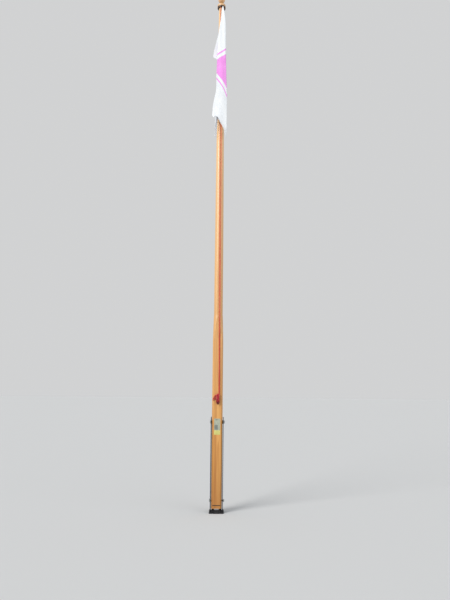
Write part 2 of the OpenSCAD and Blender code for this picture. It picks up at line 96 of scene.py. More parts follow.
class Shader:
    """A material with a Principled shader and short calls for the nodes around it."""

    def __init__(self, name, **settings):
        self.material = bpy.data.materials.new(name)
        self.material.use_nodes = True
        self.tree = self.material.node_tree
        self.surface = self.tree.nodes["Principled BSDF"]
        for socket, value in settings.items():
            self.surface.inputs[socket.replace("_", " ")].default_value = value
        self.place = self.add("ShaderNodeTexCoord").outputs["Object"]

    def add(self, kind, inputs=None, **properties):
        node = self.tree.nodes.new(kind)
        for key, value in properties.items():
            setattr(node, key, value)
        for key, value in (inputs or {}).items():
            self.feed(node, key, value)
        return node

    def feed(self, node, key, value):
        if isinstance(value, bpy.types.NodeSocket):
            self.tree.links.new(value, node.inputs[key])
        else:
            node.inputs[key].default_value = value

    def noise(self, scale, detail=3.0, rough=0.55, offset=(0, 0, 0)):
        """Noise over the shader's place, which is scaled along its own axes."""
        mapping = self.add("ShaderNodeMapping", {"Vector": self.place, "Location": offset, "Scale": scale})
        node = self.add("ShaderNodeTexNoise", {
            "Vector": mapping.outputs["Vector"], "Scale": 1.0, "Detail": detail, "Roughness": rough})
        return node.outputs["Fac"]

    def maths(self, operation, a, b=0.0, c=0.0):
        return self.add("ShaderNodeMath", {0: a, 1: b, 2: c}, operation=operation).outputs[0]

    def product(self, first, *others):
        for value in others:
            first = self.maths("MULTIPLY", first, value)
        return first

    def between(self, value, low, high, to_low=0.0, to_high=1.0, smooth=True):
        """Goes from to_low to to_high while the value goes from low to high."""
        node = self.add("ShaderNodeMapRange", {
            "Value": value, "From Min": low, "From Max": high, "To Min": to_low, "To Max": to_high})
        node.interpolation_type = "SMOOTHSTEP" if smooth else "LINEAR"
        return node.outputs["Result"]

    def ramp(self, value, stops):
        node = self.add("ShaderNodeValToRGB", {"Fac": value})
        elements = node.color_ramp.elements
        while len(elements) < len(stops):
            elements.new(0.5)
        for element, (at, colour) in zip(elements, stops):
            element.position = at
            element.color = (*colour, 1)
        return node.outputs["Color"]

    def tones(self, value, dark, pale):
        return self.ramp(value, [(0.3, dark), (0.7, pale)])

    def mix(self, share, a, b):
        """Mixes two colours, which are the node's sockets 6 and 7."""
        node = self.add("ShaderNodeMix", data_type="RGBA")
        for key, value in ((0, share), (6, a), (7, b)):
            if isinstance(value, tuple):
                value = (*value, 1)
            self.feed(node, key, value)
        return node.outputs[2]

    def split(self, vector):
        node = self.add("ShaderNodeSeparateXYZ", {"Vector": vector})
        return node.outputs["X"], node.outputs["Y"], node.outputs["Z"]

    def join(self, x, y, z):
        return self.add("ShaderNodeCombineXYZ", {"X": x, "Y": y, "Z": z}).outputs["Vector"]

    def bump(self, height, distance, strength=1.0):
        node = self.add("ShaderNodeBump", {"Height": height, "Distance": distance, "Strength": strength})
        self.feed(self.surface, "Normal", node.outputs["Normal"])

    def colour(self, value):
        self.feed(self.surface, "Base Color", value)

    def roughness(self, value):
        self.feed(self.surface, "Roughness", value)


# Materials

# How far up the truck's rim its painted shade reaches
SHADE_H = 23 * MM
# How far the growth rings and the heart stripe wander sideways
WANDER = 50 * MM
# The lozenge's middle along the fly, and its half sizes along fly and hoist, on the flat flag
LOZENGE_AT = 0.93
LOZENGE_U, LOZENGE_V = 0.63, 0.62
# Reach of its fill and of the line round it, and half the line's width, as shares of its half sizes
FILL_REACH, LINE_REACH, LINE_HALF = 0.92, 1.03, 0.02
# Waves of weave and stitches, in radians to a metre, and half the width of a row of stitches
WEAVE_RATE, STITCH_RATE = 5200.0, 1300.0
STITCH_HALF = 0.7 * MM


def softwood(name, pale, gold, dark, pith, ring_width, painted_light_up=None, shaded_groove=None, heart=None,
             shade_under_truck=None, darker_low=None):
    """Varnished softwood whose growth rings stand round a pith line near the part's middle."""
    s = Shader(name, Coat_Weight=0.40, Coat_Roughness=0.20, Coat_IOR=1.5, Specular_IOR_Level=0.35)
    drift = s.noise((3.0, 3.0, 0.45), detail=2)
    lean = s.noise((2.0, 2.0, 0.3), detail=2, offset=(7, 3, 1))
    x, y, z = s.split(s.place)
    off_x = s.maths("ADD", x, s.maths("MULTIPLY_ADD", drift, WANDER, -pith[0] - WANDER / 2))
    off_y = s.maths("ADD", y, s.maths("MULTIPLY_ADD", lean, WANDER, -pith[1] - WANDER / 2))
    flat = s.join(off_x, off_y, 0.0)
    radius = s.add("ShaderNodeVectorMath", {0: flat}, operation="LENGTH").outputs["Value"]
    ring = s.maths("FRACT", s.maths("DIVIDE", radius, ring_width))
    late = s.product(s.between(ring, 0.45, 0.97), s.between(ring, 0.97, 1.0, 1.0, 0.0))
    fibre = s.noise((900, 900, 7), detail=3, rough=0.7)
    streak = s.noise((38, 38, 0.9), detail=3)
    body = s.ramp(streak, [(0.25, dark), (0.5, gold), (0.75, pale)])
    wood = s.mix(s.product(late, 0.58), body, dark)
    wood = s.mix(s.between(fibre, 0.35, 0.7, 0.0, 0.28), wood, dark)
    if heart:
        wood = s.mix(heart_stripe(s, x, z, *heart), wood, tuple(0.8 * c for c in dark))
    # Painted light: the wood turns paler towards the top, standing in for the brighter lit look of the upper
    # pole.
    if painted_light_up:
        low, high, tint, amount = painted_light_up
        wood = s.mix(s.between(z, low, high, 0.0, amount, smooth=False), wood, tint)
    # Darker towards the bottom of the pole.
    if darker_low:
        wood = s.mix(s.between(z, 0.0, darker_low[0], darker_low[1], 0.0), wood, tuple(0.75 * c for c in dark))
    # Painted shade: the inside of the heel's groove is coloured near-black.
    if shaded_groove:
        wood = s.mix(painted_groove_shade(s, x, y, z, *shaded_groove), wood, (0.035, 0.02, 0.012))
    # Painted shade: the underside of the truck and its rim up to the quirk are coloured near-black.
    if shade_under_truck:
        wood = s.mix(painted_shade_underside(s, z, shade_under_truck[0]), wood, shade_under_truck[1])
    s.colour(wood)
    s.roughness(s.between(fibre, 0.3, 0.8, 0.34, 0.52))
    s.bump(s.maths("MULTIPLY_ADD", late, 0.6, fibre), 0.0003, 0.5)
    return s.material


def painted_shade_underside(s, z, low_z):
    """Painted shade: near-black wood on the underside of the truck and up its rim to the quirk, standing in
    for the shade under it.
    """
    patch = s.noise((55, 55, 55), detail=4)
    height = s.maths("SUBTRACT", z, s.maths("MULTIPLY_ADD", patch, 6 * MM, low_z + SHADE_H - 3 * MM))
    return s.between(height, 0.0, 2.5 * MM, 0.94, 0.0)


def heart_stripe(s, x, z, at_x, half_w, fades_at, amount):
    """A darker stripe of heartwood up the butt, which wanders and fades out above."""
    wander = s.noise((0.0, 0.0, 1.6), detail=2)
    middle = s.maths("MULTIPLY_ADD", wander, WANDER, at_x - WANDER / 2)
    off = s.maths("ABSOLUTE", s.maths("SUBTRACT", x, middle))
    stripe = s.between(off, 0.2 * half_w, half_w, amount, 0.0)
    return s.product(stripe, s.between(z, 0.6 * fades_at, fades_at, 1.0, 0.0))


def painted_groove_shade(s, x, y, z, middle_z, half_h, front_y, half_w):
    """1 inside the shallow groove across the front of the heel, which is coloured near-black as painted
    shade.
    """
    near = s.maths("COMPARE", z, middle_z, half_h)
    ahead = s.maths("LESS_THAN", y, front_y)
    across = s.maths("COMPARE", x, 0.0, half_w)
    deep = s.maths("GREATER_THAN", y, POLE_LOW.y + 0.5 * MM)
    return s.product(near, ahead, across, deep)


def black_paint():
    """Weathered black paint with a few rust specks near the ground."""
    s = Shader("black_paint", Specular_IOR_Level=0.22)
    patch = s.noise((14, 14, 9), detail=5, rough=0.6)
    speck = s.noise((160, 160, 160), detail=4, rough=0.65)
    low = s.between(s.split(s.place)[2], 0.0, 0.16, 1.0, 0.0)
    rust = s.between(s.maths("MULTIPLY_ADD", low, 0.10, speck), 0.70, 0.84, 0.0, 0.6)
    paint = s.tones(patch, (0.012, 0.012, 0.014), (0.032, 0.031, 0.034))
    s.colour(s.mix(rust, paint, (0.12, 0.045, 0.018)))
    s.roughness(s.between(patch, 0.3, 0.75, 0.48, 0.70))
    s.bump(s.maths("MULTIPLY_ADD", patch, 0.6, s.product(speck, 0.4)), 0.0006, 0.55)
    return s.material


def galvanised(name="galvanised", tint=(0.60, 0.62, 0.60)):
    """Dull zinc with a fine spangle; with another tint it is the cast cleat."""
    s = Shader(name, Metallic=0.75)
    spangle = s.add("ShaderNodeTexVoronoi", {"Vector": s.place, "Scale": 260.0}).outputs["Color"]
    grey = s.add("ShaderNodeRGBToBW", {"Color": spangle}).outputs[0]
    dull = s.noise((60, 60, 60), detail=4)
    dark = tuple(0.62 * c for c in tint)
    s.colour(s.mix(s.maths("MULTIPLY_ADD", grey, 0.5, s.product(dull, 0.4)), dark, tint))
    s.roughness(s.between(dull, 0.3, 0.7, 0.36, 0.6))
    s.bump(dull, 0.0002, 0.5)
    return s.material


def brass():
    s = Shader("tarnished_brass", Metallic=0.95)
    stain = s.noise((70, 70, 70), detail=5, rough=0.65)
    s.colour(s.ramp(stain, [(0.35, (0.42, 0.27, 0.09)), (0.55, (0.62, 0.44, 0.17)),
                            (0.75, (0.24, 0.17, 0.08))]))
    s.roughness(s.between(stain, 0.3, 0.75, 0.28, 0.55))
    return s.material


def rope_finish():
    """Red rope, darker low on the cleat's wraps as painted shade and paler towards the pole's head as painted
    light.
    """
    s = Shader("red_rope", Roughness=0.62, Sheen_Weight=0.35, Sheen_Roughness=0.4)
    fibre = s.noise((1400, 1400, 500), detail=3, rough=0.7)
    worn = s.noise((25, 25, 4), detail=4)
    height = s.split(s.place)[2]
    # Painted shade and light: darkest at the foot of the wraps on the cleat, paler higher up the pole.
    red = s.ramp(s.between(height, 1.22, 6.5, smooth=False), [
        (0.0, (0.30, 0.008, 0.016)), (0.009, (0.38, 0.010, 0.020)), (0.020, (0.68, 0.020, 0.048)),
        (0.034, (0.66, 0.030, 0.030)), (0.35, (0.76, 0.085, 0.045)), (0.8, (0.88, 0.20, 0.11))])
    red = s.mix(s.between(fibre, 0.35, 0.6, 0.5, 0.0), red, (0.36, 0.008, 0.014))
    s.colour(s.mix(s.between(worn, 0.5, 0.8, 0.0, 0.22), red, (0.84, 0.22, 0.13)))
    s.bump(fibre, 0.0003, 0.6)
    return s.material


def cloth_finish():
    """White cloth with a plain pink lozenge inside a thin pink line, placed by its flat size."""
    s = Shader("flag_cloth", Roughness=0.78, Sheen_Weight=0.25, Sheen_Roughness=0.5)
    s.place = s.add("ShaderNodeUVMap", uv_map="flat").outputs["UV"]
    u, v, _ = s.split(s.place)
    across = s.maths("ABSOLUTE", s.maths("SUBTRACT", u, LOZENGE_AT))
    down = s.maths("ABSOLUTE", s.maths("SUBTRACT", v, HOIST / 2))
    reach = s.maths("ADD", s.maths("DIVIDE", across, LOZENGE_U), s.maths("DIVIDE", down, LOZENGE_V))
    fill = s.maths("LESS_THAN", reach, FILL_REACH)
    line = s.maths("COMPARE", reach, LINE_REACH, LINE_HALF)
    weave = s.product(s.maths("SINE", s.product(u, WEAVE_RATE)), s.maths("SINE", s.product(v, WEAVE_RATE)))
    tone = s.noise((9, 9, 9), detail=4)
    white = s.tones(tone, (0.82, 0.85, 0.89), (0.89, 0.905, 0.92))
    pink = s.tones(tone, (0.86, 0.27, 0.78), (0.93, 0.36, 0.86))
    printed = s.mix(s.maths("MAXIMUM", fill, line), white, pink)
    stitch = stitch_rows(s, u, v)
    s.colour(s.mix(s.product(stitch, 0.35), printed, (0.45, 0.46, 0.5)))
    s.bump(s.maths("MULTIPLY_ADD", stitch, -1.5, weave), 0.00012, 0.5)
    return s.material


def stitch_rows(s, u, v):
    """Two rows of short stitches along the hems and the heading."""
    wave = s.maths("SINE", s.product(s.maths("ADD", u, v), STITCH_RATE))
    dash = s.maths("GREATER_THAN", wave, -0.2)
    along_u = (HEADING - 3 * MM, HEADING - 7 * MM, FLY - HEM + 1 * MM, FLY - 3 * MM)
    along_v = (HEM - 1 * MM, 3 * MM, HOIST - HEM + 1 * MM, HOIST - 3 * MM)
    rows = 0.0
    for value, at in [(u, at) for at in along_u] + [(v, at) for at in along_v]:
        rows = s.maths("MAXIMUM", rows, s.maths("COMPARE", value, at, STITCH_HALF))
    return s.product(rows, dash)


def twine_finish(name, dark, pale):
    s = Shader(name, Roughness=0.7)
    fibre = s.noise((1600, 1600, 1600), detail=3, rough=0.7)
    s.colour(s.tones(fibre, dark, pale))
    s.bump(fibre, 0.0002, 0.6)
    return s.material


def notice_finish():
    """A plain weathered sheet, straw below and grey above, with a darker block and bar and no lettering."""
    s = Shader("notice_sheet", Roughness=0.42, Coat_Weight=0.25, Coat_Roughness=0.3)
    x, _, z = s.split(s.place)
    wear = s.noise((60, 60, 35), detail=5, rough=0.65)
    grey = s.tones(wear, (0.30, 0.33, 0.26), (0.44, 0.47, 0.36))
    straw = s.tones(wear, (0.50, 0.48, 0.13), (0.68, 0.64, 0.22))
    slate = s.tones(wear, (0.13, 0.15, 0.14), (0.22, 0.24, 0.21))
    lower = s.maths("LESS_THAN", z, PLATE_LOW.z + 0.28 * (PLATE_HIGH.z - PLATE_LOW.z))
    block = plate_patch(s, x, z, (0.34, 0.46), (0.27, 0.15))
    bar = plate_patch(s, x, z, (0.40, 0.93), (0.20, 0.018))
    sheet = s.mix(block, s.mix(lower, grey, straw), slate)
    s.colour(s.mix(bar, sheet, (0.10, 0.11, 0.10)))
    s.roughness(s.between(wear, 0.3, 0.8, 0.34, 0.6))
    s.bump(wear, 0.0003, 0.3)
    return s.material


def plate_patch(s, x, z, middle, half):
    """1 inside a rectangle whose middle and half sizes are shares of the plate's width and height."""
    size = PLATE_HIGH - PLATE_LOW
    across = s.maths("COMPARE", x, PLATE_LOW.x + middle[0] * size.x, half[0] * size.x)
    upright = s.maths("COMPARE", z, PLATE_LOW.z + middle[1] * size.z, half[1] * size.z)
    return s.product(across, upright)


# Mesh helpers

def new_piece(name, shape, material, body, smooth=True):
    """A piece made from (points, faces), riding on a body of the frame."""
    points, faces = shape
    mesh = bpy.data.meshes.new(name)
    mesh.from_pydata([tuple(p) for p in points], [], faces)
    mesh.validate()
    mesh.update()
    piece = bpy.data.objects.new(name, mesh)
    scene.collection.objects.link(piece)
    mesh.materials.append(material)
    if smooth:
        mesh.polygons.foreach_set("use_smooth", [True] * len(mesh.polygons))
    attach(piece, body)
    return piece


def in_mm(rows):
    """Rows of lengths in millimetres as metres."""
    return [tuple(value * MM for value in row) for row in rows]


def tube_faces(rings, sides):
    """Faces of a tube of rings of points, closed at both ends."""
    faces = []
    for i in range(rings - 1):
        for k in range(sides):
            a = i * sides + k
            b = i * sides + (k + 1) % sides
            faces.append((a, b, b + sides, a + sides))
    faces.append(tuple(reversed(range(sides))))
    faces.append(tuple((rings - 1) * sides + k for k in range(sides)))
    return faces


def smooth_route(points, step):
    """Points at even steps along a Catmull-Rom curve through the given ones."""
    p = [Vector(q) for q in points]
    p = [2 * p[0] - p[1], *p, 2 * p[-1] - p[-2]]
    fine = []
    for a, b, c, d in zip(p, p[1:], p[2:], p[3:]):
        parts = max(4, int((c - b).length / step * 2))
        for i in range(parts):
            t = i / parts
            fine.append(0.5 * (2 * b + (c - a) * t + (2 * a - 5 * b + 4 * c - d) * t * t
                               + (3 * b - 3 * c + d - a) * t ** 3))
    fine = np.array([*fine, p[-2]])
    along = np.concatenate([[0], np.cumsum(np.linalg.norm(np.diff(fine, axis=0), axis=1))])
    want = np.linspace(0, along[-1], max(3, int(along[-1] / step) + 1))
    return np.stack([np.interp(want, along, fine[:, i]) for i in range(3)], axis=1)


def sides_along(route):
    """Two side directions at each point, which don't twist along the route."""
    heading = np.gradient(route, axis=0)
    heading /= np.linalg.norm(heading, axis=1)[:, None]
    seed = np.array([1.0, 0, 0]) if abs(heading[0][0]) < 0.9 else np.array([0, 1.0, 0])
    side = np.zeros_like(route)
    side[0] = seed - heading[0] * (seed @ heading[0])
    side[0] /= np.linalg.norm(side[0])
    for i in range(1, len(route)):
        s = side[i - 1] - heading[i] * (side[i - 1] @ heading[i])
        side[i] = s / np.linalg.norm(s)
    return side, np.cross(heading, side)


ROPE_SIDES, ROPE_STRANDS = 15, 3
# Length of one full twist, and depth of the grooves between the strands as a share of the radius
LAY = 24 * MM
GROOVE_DEPTH = 0.20


def laid_rope(route, radius, step, turn=0.0):
    """Points and faces of a rope of three twisted strands along a route of even steps."""
    side, up = sides_along(route)
    along = np.arange(len(route)) * step
    angle = np.linspace(0, math.tau, ROPE_SIDES, endpoint=False)
    points = []
    for i, centre in enumerate(route):
        a = angle + turn + math.tau * along[i] / LAY
        lobe = np.abs(np.cos(ROPE_STRANDS * angle / 2))
        r = radius * (1 - GROOVE_DEPTH + GROOVE_DEPTH * lobe)
        ring = centre + r[:, None] * (np.cos(a)[:, None] * side[i] + np.sin(a)[:, None] * up[i])
        points.extend(ring)
    return points, tube_faces(len(route), ROPE_SIDES)


def lathe(profile, sides=48, at=(0, 0, 0)):
    """Points and faces of a profile of (radius, height) turned about +Z."""
    points = []
    for r, z in profile:
        for k in range(sides):
            a = math.tau * k / sides
            points.append((at[0] + r * math.cos(a), at[1] + r * math.sin(a), at[2] + z))
    return points, tube_faces(len(profile), sides)


def joined(parts):
    """Several (points, faces) as one."""
    points, faces = [], []
    for some_points, some_faces in parts:
        base = len(points)
        points.extend(some_points)
        faces.extend(tuple(base + i for i in f) for f in some_faces)
    return points, faces


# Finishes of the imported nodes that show; the others have pieces in their place

def finish_nodes(finishes):
    for material, names in finishes:
        for name in names:
            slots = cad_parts[name].data.materials
            slots.clear()
            slots.append(material)


# Anchor fastenings on the base plate

# Half the spacing of the base plate's holes, across and from front to rear
ANCHOR_X, ANCHOR_Y = 42 * MM, 68 * MM
# The washer's profile as radius and height, in mm
WASHER = ((15, 0.0), (15.3, 0.4), (15.3, 2.2), (14.6, 2.8))
WASHER_H = 2.8 * MM
NUT_ACROSS, NUT_H, NUT_SIDES = 24 * MM, 12.5 * MM, 36
# Shares of a nut's height and of its corners' reach, where the corners are turned off
NUT_LEVELS = ((0.0, 0.93), (0.12, 1.0), (0.88, 1.0), (1.0, 0.93))
STUD_R = 7.9 * MM
# The stud's height above its nut, and the gap that keeps their faces apart
STUD_H, STUD_GAP = 8 * MM, 0.1 * MM
THREAD_PITCH = 2 * MM


def stud_profile():
    """A threaded stud with a rounded end, as (radius, height)."""
    profile = [(STUD_R * 0.9, 0.0)]
    for i in range(int(STUD_H / THREAD_PITCH)):
        z = i * THREAD_PITCH
        profile.append((STUD_R * 0.88, z + 0.15 * THREAD_PITCH))
        profile.append((STUD_R, z + 0.55 * THREAD_PITCH))
    return [*profile, (STUD_R * 0.9, STUD_H), (STUD_R * 0.6, STUD_H + 0.6 * MM)]


def hex_nut(at, turn):
    """A nut with turned-off corners that stands on the given point, as points and faces."""
    points = []
    corner = NUT_ACROSS / math.sqrt(3)
    for level, share in NUT_LEVELS:
        for k in range(NUT_SIDES):
            a = math.tau * k / NUT_SIDES
            off_flat = (a % (math.pi / 3)) - math.pi / 6
            r = min(NUT_ACROSS / 2 / math.cos(off_flat), corner * share)
            points.append((at[0] + r * math.cos(a + turn), at[1] + r * math.sin(a + turn),
                           at[2] + level * NUT_H))
    return points, tube_faces(len(NUT_LEVELS), NUT_SIDES)


def make_anchor_fastenings(material):
    """A washer, a nut and a stud's end over each hole; each nut is turned its own way."""
    parts = []
    for i, (sx, sy) in enumerate(((-1, -1), (1, -1), (-1, 1), (1, 1))):
        x, y = sx * ANCHOR_X, sy * ANCHOR_Y
        nut_z = PLATE_T + WASHER_H
        parts.append(lathe(in_mm(WASHER), at=(x, y, PLATE_T)))
        parts.append(hex_nut((x, y, nut_z), 0.35 + 0.5 * i))
        parts.append(lathe(stud_profile(), at=(x, y, nut_z + NUT_H + STUD_GAP)))
    new_piece("anchor_fastenings", joined(parts), material, "tabernacle", smooth=False)


# Countersunk screws in the cleat's foot

FOOT_LEN, FOOT_W, FOOT_T = 94 * MM, 24 * MM, 5 * MM
SCREW_OFF = (FOOT_LEN - FOOT_W) / 2
# The head's profile as radius and height, in mm, and how deep its foot lies in the cleat's foot
SCREW_HEAD = ((2.2, 0.0), (4.7, 1.3), (4.6, 1.7), (3.6, 2.1), (2.0, 2.35), (0.7, 2.4))
SCREW_SUNK = 1.4 * MM


def make_cleat_screws(material):
    """Raised heads that fill the countersunk holes, facing the front."""
    parts = []
    for side in (-1, 1):
        points, faces = lathe(in_mm(SCREW_HEAD), sides=24)
        at = (CLEAT_X, FRONT_Y - FOOT_T + SCREW_SUNK, CLEAT_Z + side * SCREW_OFF)
        parts.append(([(at[0] + x, at[1] - z, at[2] + y) for x, y, z in points], faces))
    new_piece("cleat_screws", joined(parts), material, "pole")


# Weld beads along the feet of the cheeks

BEAD_R, BEAD_STEP, BEAD_SIDES = 4.6 * MM, 1.2 * MM, 9
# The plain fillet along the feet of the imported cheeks, which the bead lies on
WELD_LEG = 6 * MM
# How far the bead's flat side stands off the cheek and the plate
BEAD_OUT, BEAD_UP = 0.8 * MM, 0.6 * MM


def weld_bead(face_x, sx, out):
    """Points and faces of a rippled bead on one side of one cheek, thin at both ends."""
    start_x, start_y = sx * face_x, CHEEK_LOW.y + 1 * MM
    count = int((CHEEK_HIGH.y - CHEEK_LOW.y - 2 * MM) / BEAD_STEP)
    points = []
    for i in range(count + 1):
        y = start_y + i * BEAD_STEP
        rough = noise.noise(Vector((y * 90, sx, out)))
        ripple = 0.86 + 0.14 * abs(math.sin(i * 0.72)) + 0.05 * rough
        end = min(i, count - i) / 4
        r = BEAD_R * ripple * (math.sqrt(min(1.0, end)) * 0.9 + 0.1)
        for k in range(BEAD_SIDES):
            a = math.pi * (k / (BEAD_SIDES - 1))
            points.append((start_x + sx * out * (BEAD_OUT + r * math.sin(a) * 1.05),
                           y, PLATE_T + BEAD_UP + r * (1 - math.cos(a)) * 0.72))
    return points, tube_faces(count + 1, BEAD_SIDES)


def make_weld_beads(material):
    inner, outer = CHEEK_LOW.x + WELD_LEG, CHEEK_HIGH.x - WELD_LEG
    beads = [weld_bead(face_x, sx, out) for sx in (-1, 1) for face_x, out in ((inner, -1), (outer, 1))]
    new_piece("weld_beads", joined(beads), material, "tabernacle")


# Halyard: one laid rope from the upper eye over the sheave, down to the cleat and back up to the lower eye

ROPE_R, ROPE_GAP, ROPE_STEP = 3.5 * MM, 0.4 * MM, 2.4 * MM
HORN_R, STEM_R, STEM_PITCH = 7 * MM, 6 * MM, 34 * MM
BAR_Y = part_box("cleat")[0].y + HORN_R
CLEAT_X, CLEAT_Z = CLEAT_AT.x, CLEAT_AT.z
# Where the two falls come down to the cleat, and half their spacing
FALL_X, FALL_Y, FALL_Z = 20 * MM, FRONT_Y - 9 * MM, CLEAT_Z + 75 * MM
FALL_HALF = 3.9 * MM
# How the rope passes beside the cleat's stems
PASS_X = STEM_R + ROPE_R + 2 * ROPE_GAP
SIDE_Y = FALL_Y + 0.5 * MM
# Reach of the first turn up and down, its growth with each half turn, and the depth of each half turn
FIRST_TURN, TURN_STEP, LAYER_STEP = 29 * MM, 2.9 * MM, 3.7 * MM
# Room between the horn and the sides of the first turn, and its growth with each half turn
SPREAD, SPREAD_STEP = 2 * MM, 0.75 * MM
# Share by which the turns reach less far up, and further down
LEAN = 0.12
HALF_TURNS = 8
# Height over the cleat's middle at which each half turn crosses the horns, in mm
CROSSINGS = (-26, -19, -11, -4, 4, 12, 20, 28)
POINTS_A_TURN = 10
SHEAVE_ROPE_R = 14 * MM


def turn_point(h):
    """A point of the figures of eight round the horns, h half turns from their start."""
    a = math.radians(270 + 180 * h)
    crossing = CROSSINGS[min(int(h), HALF_TURNS - 1)] * MM
    back = HORN_R + ROPE_R + ROPE_GAP
    front = back + LAYER_STEP * max(h - 0.5, 0)
    reach = FIRST_TURN + TURN_STEP * h
    wide = HORN_R + ROPE_R + SPREAD + SPREAD_STEP * h
    high = math.sin(a) * (1 - LEAN * math.sin(a))
    return (CLEAT_X - wide * math.sin(2 * a),
            BAR_Y - (front - back) / 2 - (front + back) / 2 * math.cos(2 * a),
            CLEAT_Z + reach * high + crossing * math.cos(a) ** 2)


def halyard_route():
    """The rope's middle line from the upper eye to the lower eye."""
    up_x, down_x = FALL_X - FALL_HALF, FALL_X + FALL_HALF
    left, right = CLEAT_X - PASS_X, CLEAT_X + PASS_X
    above, below = CLEAT_Z + STEM_PITCH / 2 + 14 * MM, CLEAT_Z - STEM_PITCH / 2
    first_z = CLEAT_Z - FIRST_TURN
    lead_in = [
        (up_x, FALL_Y, FALL_Z), (up_x - 1 * MM, FALL_Y, FALL_Z - 8 * MM),
        (left, SIDE_Y, above), (left, SIDE_Y, below), (left, SIDE_Y - 1 * MM, first_z + 8 * MM),
        (left + 3 * MM, SIDE_Y - 4 * MM, first_z + 2 * MM),
    ]
    turns = [turn_point(i / POINTS_A_TURN) for i in range(POINTS_A_TURN * HALF_TURNS + 1)]
    x, y, z = turns[-1]
    lead_out = [
        (x + 5 * MM, y + 2 * MM, z - 0.5 * MM), (x + 9 * MM, y + 5 * MM, z + 1.5 * MM),
        (right + 1 * MM, SIDE_Y, z + 8 * MM), (right, SIDE_Y, below), (right, SIDE_Y, above),
        (down_x + 1 * MM, FALL_Y, FALL_Z - 12 * MM), (down_x, FALL_Y, FALL_Z),
    ]
    over = [(SHEAVE_AT.x + SHEAVE_ROPE_R * math.cos(a), SHEAVE_AT.y,
             SHEAVE_AT.z + SHEAVE_ROPE_R * math.sin(a)) for a in np.linspace(0, math.pi, 13)]
    top_end = (SHEAVE_ROPE_R, SHEAVE_AT.y, UPPER_EYE_TOP - 1 * MM)
    low_end = (SHEAVE_ROPE_R, LOWER_EYE_MID.y, LOWER_EYE_FOOT + 1 * MM)
    return [top_end, *over, *lead_in, *turns, *lead_out, low_end]


# The slack bight leaves the upper horn after three turns round it. The points of both are in mm: right of
# BIGHT_X, out from BIGHT_Y towards the front and up from the cleat's middle.
HITCH_ROUTE = (
    (15, 17, 60.8), (21, 20, 60.7), (23.2, 26, 60.5), (21, 32.6, 60.3), (14, 35.4, 60), (7, 32.6, 59.6),
    (4.6, 26, 59), (6, 17.5, 57.8), (14, 9, 55.6), (23, 15, 53.6), (26, 24, 53.2), (23, 32, 53),
    (14, 35.6, 53), (5, 32, 52.8), (2, 24, 52.4), (5, 14, 51), (14, 8, 49), (24, 14, 47), (28, 24, 46),
    (24, 33, 45.6), (14, 36, 45.6), (4, 32.5, 45.8), (-1, 25, 46.6))
BIGHT_ROUTE = (
    (-6, 16, 49), (-13, 11, 48.5), (-21, 6, 42), (-28, 2, 32), (-36, 0, 18), (-42, 0, 6),
    (-45, 0, -4), (-44, 0, -11), (-38, 0, -14), (-30, 0, -10), (-22, 3, -2), (-14, 8, 5), (-7, 13, 9))
BIGHT_X = CLEAT_X - 14 * MM
BIGHT_Y = FRONT_Y - ROPE_R - ROPE_GAP
BIGHT_STEP = 1.2 * MM
# The smaller loop inside the bight: its size against it and its move, each across, out and up
INNER_SIZE = (0.76, 0.6, 0.72)
INNER_MOVE = (-1 * MM, 7.6 * MM, 12 * MM)
EYE_R, EYE_PARTS = 8 * MM, 42
# The twine's rounds and how far they stand out, and each whipping's length beyond its eye and over it
TWINE_PITCH, TWINE_OUT = 0.9 * MM, 0.3 * MM
WHIPPING_H, WHIPPING_LAP = 9 * MM, 1 * MM


def straightened(points, step):
    """Even steps along straight runs and a curve where the points lie close together."""
    longest = 60 * MM
    dense = [points[0]]
    for a, b in zip(points, points[1:]):
        parts = max(1, int((Vector(b) - Vector(a)).length / longest))
        dense.extend(tuple(Vector(a).lerp(Vector(b), (i + 1) / parts)) for i in range(parts))
    return smooth_route(dense, step)


def rope_piece(name, route, step, material, stands_for, turn=0.0):
    """A laid rope on the pole in place of the nodes that it stands for."""
    piece = new_piece(name, laid_rope(route, ROPE_R, step, turn), material, "pole")
    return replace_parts(piece, *stands_for) if stands_for else piece


def eye_loop(middle):
    """A closed ring of rope that the flag is tied to, in the plane of the pole's side."""
    angles = np.linspace(0, math.tau, EYE_PARTS + 1)
    return np.stack([np.full(EYE_PARTS + 1, middle.x), middle.y + EYE_R * np.sin(angles),
                     middle.z - EYE_R * np.cos(angles)], axis=1)


def whipping(middle, z_low, z_high):
    """Twine wound round the rope where it is made into an eye."""
    rounds = int((z_high - z_low) / TWINE_PITCH)
    profile = [(ROPE_R * 0.8, z_low)]
    for i in range(rounds):
        for share in (0.15, 0.5, 0.85):
            out = TWINE_OUT * math.sin(math.pi * share)
            profile.append((ROPE_R + out, z_low + (i + share) * TWINE_PITCH))
    profile.append((ROPE_R * 0.8, z_high))
    return lathe(profile, sides=20, at=(middle.x, middle.y, 0))


def bight_points(route, size=(1, 1, 1), move=(0, 0, 0)):
    """A bight's route in the part's own frame, resized and moved across, out and up."""
    return [(BIGHT_X + size[0] * x * MM + move[0], BIGHT_Y - size[1] * out * MM - move[1],
             CLEAT_Z + size[2] * z * MM + move[2]) for x, out, z in route]


